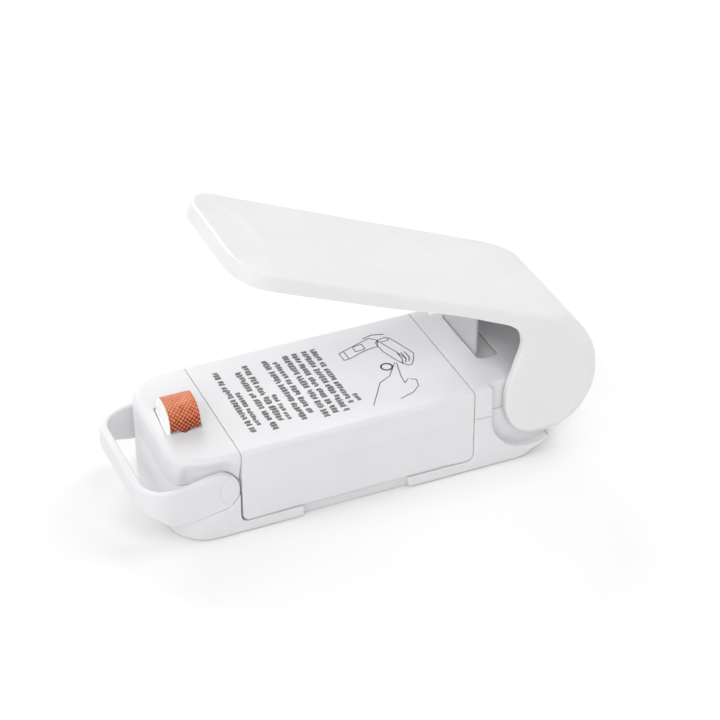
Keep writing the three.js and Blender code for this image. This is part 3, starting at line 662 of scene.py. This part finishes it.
# ----------------------------- shells -----------------------------
def build_shells():
    ylines = lines((-19.3, -18.4, 0.24), (-18.4, -14.6, 0.36), (-14.6, -13.4, 0.6), (-13.4, 13.4, 0.9), (13.4, 14.6, 0.6), (14.6, 18.4, 0.36), (18.4, 19.3, 0.24))
    P, Q = nets(f_base, lines((-15.6, -0.9, 0.42), (-0.9, 0.0, 0.1), (0.0, 2.4, 0.25), (2.4, 14, 0.9), (14, 16, 0.4), (16, 40, 1.0), (40, 44, 0.4), (44, 55.2, 0.9), (55.2, 57.4, 0.3), (57.4, 58.2, 0.1), (58.2, 86.6, 0.38)),
                ylines, lines((-0.6, 1.2, 0.24), (1.2, 2.7, 0.3), (2.7, 3.5, 0.1), (3.5, 14.2, 0.4), (14.2, 15.0, 0.1), (15.0, 21.0, 0.5)))
    mesh_object("shell_base", P, Q, M_BODY, "body", ["base_shell"])
    P, Q = nets(f_head, lines((-15.6, -13, 0.24), (-13, -11.4, 0.12), (-11.4, -5, 0.4), (-5, -3.6, 0.16), (-3.6, -0.6, 0.3), (-0.6, 0.1, 0.05)),
                lines((-19.3, -12, 0.28), (-12, -6.6, 0.6), (-6.6, -5.4, 0.14), (-5.4, 5.4, 0.5), (5.4, 6.8, 0.14), (6.8, 12, 0.6), (12, 19.3, 0.28)),
                lines((14.2, 15.2, 0.1), (15.2, 20.4, 0.28), (20.4, 22.6, 0.14)))
    mesh_object("shell_head", P, Q, M_BODY, "body", ["head_cover"])
    P, Q = nets(f_rear, lines((57.5, 58.3, 0.07), (58.3, 61.4, 0.4), (61.4, 64.0, 0.25), (64.0, 65.4, 0.2), (65.4, 68.8, 0.5), (68.8, 70.6, 0.2), (70.6, 86.6, 0.45)),
                lines((-19.3, -15.4, 0.22), (-15.4, -7.6, 0.7), (-7.6, -5.4, 0.2), (-5.4, 12.6, 0.8), (12.6, 15, 0.25), (15, 19.3, 0.22)),
                lines((14.2, 15.2, 0.1), (15.2, 18.8, 0.4), (18.8, 20.8, 0.3), (20.8, 22.6, 0.16)))
    mesh_object("shell_rear", P, Q, M_BODY, "body", ["rear_cover"])
    P, Q = nets(f_cover, lines((-0.1, 0.5, 0.06), (0.5, 3.0, 0.25), (3.0, 10, 0.9), (10, 14, 0.5), (14, 49, 1.6), (49, 54, 0.5), (54, 57.2, 0.3), (57.2, 57.8, 0.06)),
                lines((-19.3, -15, 0.18), (-15, 15, 1.6), (15, 19.3, 0.18)),
                lines((2.9, 5.2, 0.12), (5.2, 13.8, 0.7), (13.8, 15.3, 0.12), (15.3, 18.4, 0.5), (18.4, 20.8, 0.3), (20.8, 22.6, 0.14)))
    mesh_object("shell_cover", P, Q, M_COVER, "cover", ["battery_cover"])
    P, Q = nets(f_arm, lines((-31.8, -20, 0.32), (-20, 24, 1.0), (24, 72, 0.4)),
                lines((-19.7, -15.6, 0.2), (-15.6, 15.6, 0.9), (15.6, 19.7, 0.2)),
                lines((-44.5, -5.4, 0.42), (-5.4, -1.6, 0.2), (-1.6, 0.5, 0.12)))
    mesh_object("shell_arm", from_arm(P), Q, M_ARM, "arm", ["arm_shell"])
    P, Q = nets(f_bail, lines((-23.6, -14, 0.22), (-14, -9, 0.35), (-9, 0.4, 0.22)),
                lines((-19.3, -14, 0.18), (-14, 14, 0.8), (14, 19.3, 0.18)),
                lines((5.8, 18.2, 0.22)))
    mesh_object("shell_bail", P, Q, M_BODY, "bail", ["bail_loop"])
    P, Q = nets(f_block, lines((-12.9, -10.9, 0.1), (-10.9, -9.3, 0.3), (-9.3, -8.8, 0.08), (-8.8, -7.0, 0.3), (-7.0, -6.5, 0.08), (-6.5, -4.7, 0.3), (-4.7, -3.9, 0.08)),
                lines((-6.0, 5.6, 0.13)), lines((12.7, 20.0, 0.5), (20.0, 27.8, 0.13)))
    mesh_object("heating_head", P, Q, M_HEAT, "heater", ["heater_block"])
    P, Q = nets(f_blade, lines((64.2, 65.9, 0.12), (65.9, 68.4, 0.3), (68.4, 70.0, 0.12)),
                lines((-6.4, -4.8, 0.14), (-4.8, 12.2, 0.8), (12.2, 13.9, 0.14)),
                lines((8.6, 10.6, 0.3), (10.6, 19.0, 0.8), (19.0, 21.8, 0.12), (21.8, 36.6, 0.8), (36.6, 38.0, 0.15)))
    mesh_object("switch_blade_shell", P, Q, M_DARK, "blade", ["switch_blade"])


build_shells()


# --------------------------- glass cloth --------------------------
WEAVE = 0.74


def weave_height(u, v):
    """Plain weave laid at 45 degrees: height of the upper yarn."""
    p, q = (u + v) / math.sqrt(2) / WEAVE, (u - v) / math.sqrt(2) / WEAVE
    over = np.sin(math.pi * p) * np.sin(math.pi * q)
    ra = np.abs(np.sin(math.pi * p))
    rb = np.abs(np.sin(math.pi * q))
    return 0.5 * np.sqrt(np.maximum(ra * rb, 0)) + 0.5 * np.abs(over)


def cloth_path():
    """The strip's run across the arch, from its near cut end over the top and down inside the nose."""
    pts = [(-6.55, 22.40), (-6.1, 22.43), (-5.75, 22.58), (-5.58, 22.95)]
    d = [p for p in dome(-0.13, 20.0, 120)[::-1] if p[1] > 23.4 or p[0] > 0]
    pts += d[:-1] + [(d[-1][0], 18.0)]
    out = [np.array(pts[0])]
    for a, b in zip(pts[:-1], pts[1:]):
        a, b = np.array(a), np.array(b)
        k = max(1, int(round(np.linalg.norm(b - a) / 0.05)))
        out += [a + (b - a) * (i + 1) / k for i in range(k)]
    P = np.array(out)
    L = np.concatenate([[0], np.cumsum(np.linalg.norm(np.diff(P, axis=0), axis=1))])
    return P, L


def build_cloth():
    path, L = cloth_path()
    total = L[-1]
    nu = int(total / (0.095))
    nv = 82
    u0 = np.linspace(0, total, nu)
    rng = np.random.default_rng(7)
    jag = np.interp(np.linspace(0, 1, nv), np.linspace(0, 1, 15), rng.uniform(-0.3, 0.35, 15))
    verts, uv = [], []
    top_n = None
    x0, x1 = HEAT_X0 + 0.2, HEAT_X1 + 0.02
    V = np.linspace(0, 1, nv)
    rows_top, rows_low, uvs = [], [], []
    for i, u in enumerate(u0):
        # the cut end is ragged and bulges out in the middle
        start = 0.86 - 0.72 * np.exp(-((V - 0.47) / 0.11) ** 2) + 0.3 * np.exp(-((V - 0.24) / 0.08) ** 2) + jag * 0.5 + 0.15 * V
        uu = np.clip(u + start * max(0.0, 1 - u / 3.2), 0, total)
        c = np.stack([np.interp(uu, L, path[:, 0]), np.interp(uu, L, path[:, 1])], 1)
        e = 0.12
        a1 = np.stack([np.interp(uu + e, L, path[:, 0]), np.interp(uu + e, L, path[:, 1])], 1)
        a0 = np.stack([np.interp(uu - e, L, path[:, 0]), np.interp(uu - e, L, path[:, 1])], 1)
        t = a1 - a0
        t /= np.linalg.norm(t, axis=1)[:, None] + 1e-9
        nrm = np.stack([-t[:, 1], t[:, 0]], 1)
        # inside the nose the strip widens into the tab that holds it
        tab = smoothstep(total - 3.3, total - 2.9, u) * 1.5
        edge = 0.035 * np.sin(u / WEAVE * math.sqrt(2) * math.pi) * (1 - smoothstep(total - 4, total - 3, u))
        x = (x0 - tab + edge) + (x1 - x0 + 2 * tab) * V + HEAT_SKEW * c[:, 0]
        h = weave_height(uu, x)
        lift = 0.02 + 0.11 * h
        top = np.stack([x, c[:, 0] + nrm[:, 0] * lift, c[:, 1] + nrm[:, 1] * lift], 1)
        low = np.stack([x, c[:, 0] - nrm[:, 0] * 0.08, c[:, 1] - nrm[:, 1] * 0.08], 1)
        rows_top.append(top)
        rows_low.append(low)
        uvs.append(np.stack([uu, x], 1))
    T = np.array(rows_top)
    B = np.array(rows_low)
    n = nu * nv
    P = np.concatenate([T.reshape(-1, 3), B.reshape(-1, 3)])
    UVv = np.concatenate([np.array(uvs).reshape(-1, 2)] * 2)
    idx = np.arange(n).reshape(nu, nv)
    a, b, c, d = idx[:-1, :-1].ravel(), idx[1:, :-1].ravel(), idx[1:, 1:].ravel(), idx[:-1, 1:].ravel()
    F = [np.stack([d, c, b, a], 1), np.stack([a, b, c, d], 1) + n]
    for ring in (idx[:, 0], idx[:, -1][::-1], idx[0, ::-1], idx[-1, :]):
        F.append(np.stack([ring[:-1], ring[1:], ring[1:] + n, ring[:-1] + n], 1))
    F = np.concatenate(F)
    ob = mesh_object("glass_cloth_strip", P, F, M_CLOTH, "heater", ["ptfe_cloth"])
    me = ob.data
    layer = me.uv_layers.new(name="cloth")
    li = np.zeros(len(me.loops), np.int32)
    me.loops.foreach_get("vertex_index", li)
    layer.data.foreach_set("uv", (UVv[li] / 1000.0 * 100.0).astype(np.float32).ravel())


build_cloth()


# ------------------------ print on the cover ----------------------
def prism_field(name, polys, z0, z1, material, body):
    """Flat closed tiles standing from z0 to z1."""
    P, F = [], []
    for pts in polys:
        k, n = len(P), len(pts)
        P += [(x, y, z0) for x, y in pts] + [(x, y, z1) for x, y in pts]
        F.append([k + i for i in range(n)][::-1])
        F.append([k + n + i for i in range(n)])
        F += [[k + i, k + (i + 1) % n, k + n + (i + 1) % n, k + n + i] for i in range(n)]
    return mesh_object(name, np.array(P), F, material, body, (), flat=True)


def tile(x, y, w, h, r=0.12, turn=0.0):
    """Rounded rectangle, counter-clockwise; w along x, h along y."""
    out = []
    for cx, cy, a in ((w / 2 - r, h / 2 - r, 0), (-w / 2 + r, h / 2 - r, 90), (-w / 2 + r, -h / 2 + r, 180), (w / 2 - r, -h / 2 + r, 270)):
        for k in range(3):
            t = math.radians(a + 45 * k)
            px, py = cx + r * math.cos(t), cy + r * math.sin(t)
            out.append((x + px * math.cos(turn) - py * math.sin(turn), y + px * math.sin(turn) + py * math.cos(turn)))
    return out


def stroke(pts, w):
    """A pen line of width w as overlapping flat tiles."""
    out = []
    for (ax, ay), (bx, by) in zip(pts[:-1], pts[1:]):
        l = math.hypot(bx - ax, by - ay)
        if l < 1e-6:
            continue
        out.append(tile((ax + bx) / 2, (ay + by) / 2, l + w, w, w * 0.49, math.atan2(by - ay, bx - ax)))
    return out


INK_Z0, INK_Z1 = TOP_Z - 0.12, TOP_Z + 0.0


def build_print():
    rng = np.random.default_rng(11)
    rows = [(5.7, 13.0, -13.0, 0.95), (7.7, 3.5, -11.0, 0.75), (10.7, 11.0, -13.0, 0.95), (13.0, 13.0, -11.0, 1.0), (15.0, -0.5, -11.0, 0.75), (18.0, 13.0, -13.5, 1.0),
            (20.3, 11.5, -11.0, 0.9), (23.2, 13.0, -13.5, 1.0), (25.5, 13.0, -13.0, 0.9), (28.0, 13.0, -13.0, 1.0), (30.2, 13.0, -11.0, 0.9), (32.2, -7.5, -11.0, 0.75)]
    marks = []
    for x, y0, y1, weight in rows:
        y = y0
        left = int(rng.integers(3, 9))
        while y > y1 + 0.5:
            for k in range(2):
                h = rng.uniform(1.05, 1.7) * weight
                marks.append(tile(x + rng.uniform(-0.5, 0.5) * (1.7 * weight - h), y - 0.17 - 0.45 * k, h, rng.uniform(0.29, 0.39), 0.08))
            y -= rng.uniform(0.98, 1.1)
            left -= 1
            if left <= 0:
                y -= rng.uniform(0.45, 0.8)
                left = int(rng.integers(2, 9))
    prism_field("print_lines", marks, INK_Z0, INK_Z1, M_INK, "cover")
    lines_ = []
    w = 0.2
    arm_shape = [(35.4, 5.8), (35.4, 8.8), (36.5, 9.2), (42.0, 11.2), (44.5, 11.9), (46.0, 10.4), (44.8, 7.9), (43.5, 7.9), (41.0, 7.4), (36.7, 5.8), (35.4, 5.8)]
    lines_ += stroke(arm_shape, w) + stroke([(36.7, 5.8), (36.7, 9.1)], w)
    lines_ += stroke([(39.3, 8.0), (39.3, 10.1), (41.8, 10.4), (41.8, 8.2), (39.3, 8.0)], w)
    body = [(45.0, 9.5), (45.2, 5.5), (46.3, 2.0), (47.2, -0.3), (48.3, -2.0), (49.3, -2.0), (50.6, 0.0), (51.5, 2.0), (51.0, 4.0), (50.0, 7.0), (49.0, 9.8), (48.0, 10.8), (46.2, 10.4), (45.0, 9.5)]
    lines_ += stroke(body, w) + stroke([(46.3, 9.0), (48.0, 4.2), (49.0, 0.6)], w)
    lines_ += stroke([(43.0, 12.3), (45.5, 13.0), (48.2, 12.2)], w * 1.2)
    for k in (0.0, 0.9, 1.8):
        lines_ += stroke([(47.4 + k, -0.9 + 0.3 * k), (48.1 + k, 0.9), (48.0 + k, 3.4)], w * 1.3)
    lines_ += stroke([(45.6, 10.3), (46.0, 9.4), (48.3, 9.4), (48.6, 10.5)], w)
    ring = [(43.4 + 1.35 * math.cos(t), -0.6 + 1.35 * math.sin(t)) for t in np.linspace(0, 2 * math.pi, 15)]
    lines_ += stroke(ring, 0.42)
    lines_ += stroke([(34.4, -13.5), (39.3, -6.0), (42.5, -4.3), (45.8, 0.2)], w)
    lines_ += stroke([(46.2, 0.0), (45.0, -5.0), (44.6, -8.2), (46.0, -7.0)], w)
    lines_ += stroke([(46.5, -7.3), (47.6, -8.0), (47.0, -10.5), (45.0, -12.3), (41.2, -13.6)], w)
    prism_field("print_drawing", lines_, INK_Z0, INK_Z1 + 0.001, M_INK, "cover")


build_print()


# ------------------------- carried CAD nodes ----------------------
LOOK = {
    "arm_liner": M_GREY, "pad_carrier": M_GREY, "press_pad": M_SILI, "bail_pin_near": M_STEEL, "bail_pin_far": M_STEEL,
    "heater_ribbon": M_STRIP, "heater_spring": M_STEEL, "contact_plate_a": M_BRASS, "contact_plate_b": M_BRASS,
    "contact_bridge": M_BRASS, "contact_spring_a": M_STEEL, "contact_spring_b": M_STEEL, "hinge_pin": M_STEEL, "torsion_spring": M_STEEL,
    "switch_contact_fixed": M_BRASS, "switch_contact_leaf": M_BRASS,
    "screw_front_near": M_STEEL, "screw_front_far": M_STEEL, "screw_rear_near": M_STEEL, "screw_rear_far": M_STEEL,
}
LOOK.update(cell_a=M_CELL, cell_b=M_CELL, lead_wire=M_LEAD)
for name, mat in LOOK.items():
    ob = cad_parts[name]
    ob.data.materials.clear()
    ob.data.materials.append(mat)
for name, w in (("arm_liner", 0.25), ("pad_carrier", 0.3), ("press_pad", 0.4), ("cell_a", 0.2), ("cell_b", 0.2), ("contact_plate_a", 0.08), ("contact_plate_b", 0.08)):
    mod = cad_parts[name].modifiers.new("edge", "BEVEL")
    mod.width = w / 1000
    mod.segments = 3
    mod.limit_method = "ANGLE"
    mod.angle_limit = math.radians(35)

# ------------------------------ stage -----------------------------
def stage():
    me = bpy.data.meshes.new("floor")
    s = 3.0
    me.from_pydata([(-s, -s, 0), (s, -s, 0), (s, s, 0), (-s, s, 0)], [], [(0, 1, 2, 3)])
    ob = bpy.data.objects.new("floor", me)
    bpy.context.scene.collection.objects.link(ob)
    m, nt, b = principled("floor_white")
    co = objcoord(nt)
    nt.links.new(ramp(nt, noise(nt, co, 3.0), [(0.3, (0.9, 0.9, 0.9)), (0.7, (0.93, 0.93, 0.93))]), b.inputs["Base Color"])
    b.inputs["Roughness"].default_value = 0.9
    me.materials.append(m)
    w = bpy.data.worlds.new("world")
    bpy.context.scene.world = w
    w.use_nodes = True
    w.node_tree.nodes["Background"].inputs["Color"].default_value = (1, 1, 1, 1)
    w.node_tree.nodes["Background"].inputs["Strength"].default_value = 0.12
    bpy.context.scene.view_settings.view_transform = "Standard"

    def area(name, loc, target, size, power):
        l = bpy.data.lights.new(name, "AREA")
        l.shape = "DISK"
        l.size = size
        l.energy = power
        o = bpy.data.objects.new(name, l)
        bpy.context.scene.collection.objects.link(o)
        o.location = loc
        o.rotation_euler = (Vector(target) - Vector(loc)).to_track_quat("-Z", "Y").to_euler()
    for i, (el, az, power) in enumerate(((25, 135, 1.87), (25, 180, 1.0), (25, 225, 2.65), (25, 90, 5.9), (50, 0, 4.8), (50, 180, 2.35), (50, 270, 4.0), (50, 45, 1.1))):
        e, a = math.radians(el), math.radians(az)
        area("softbox_%d" % (i + 1), (1.1 * math.cos(e) * math.cos(a), 1.1 * math.cos(e) * math.sin(a), 1.1 * math.sin(e)), (0, 0, 0.02), 0.7, power)


stage()

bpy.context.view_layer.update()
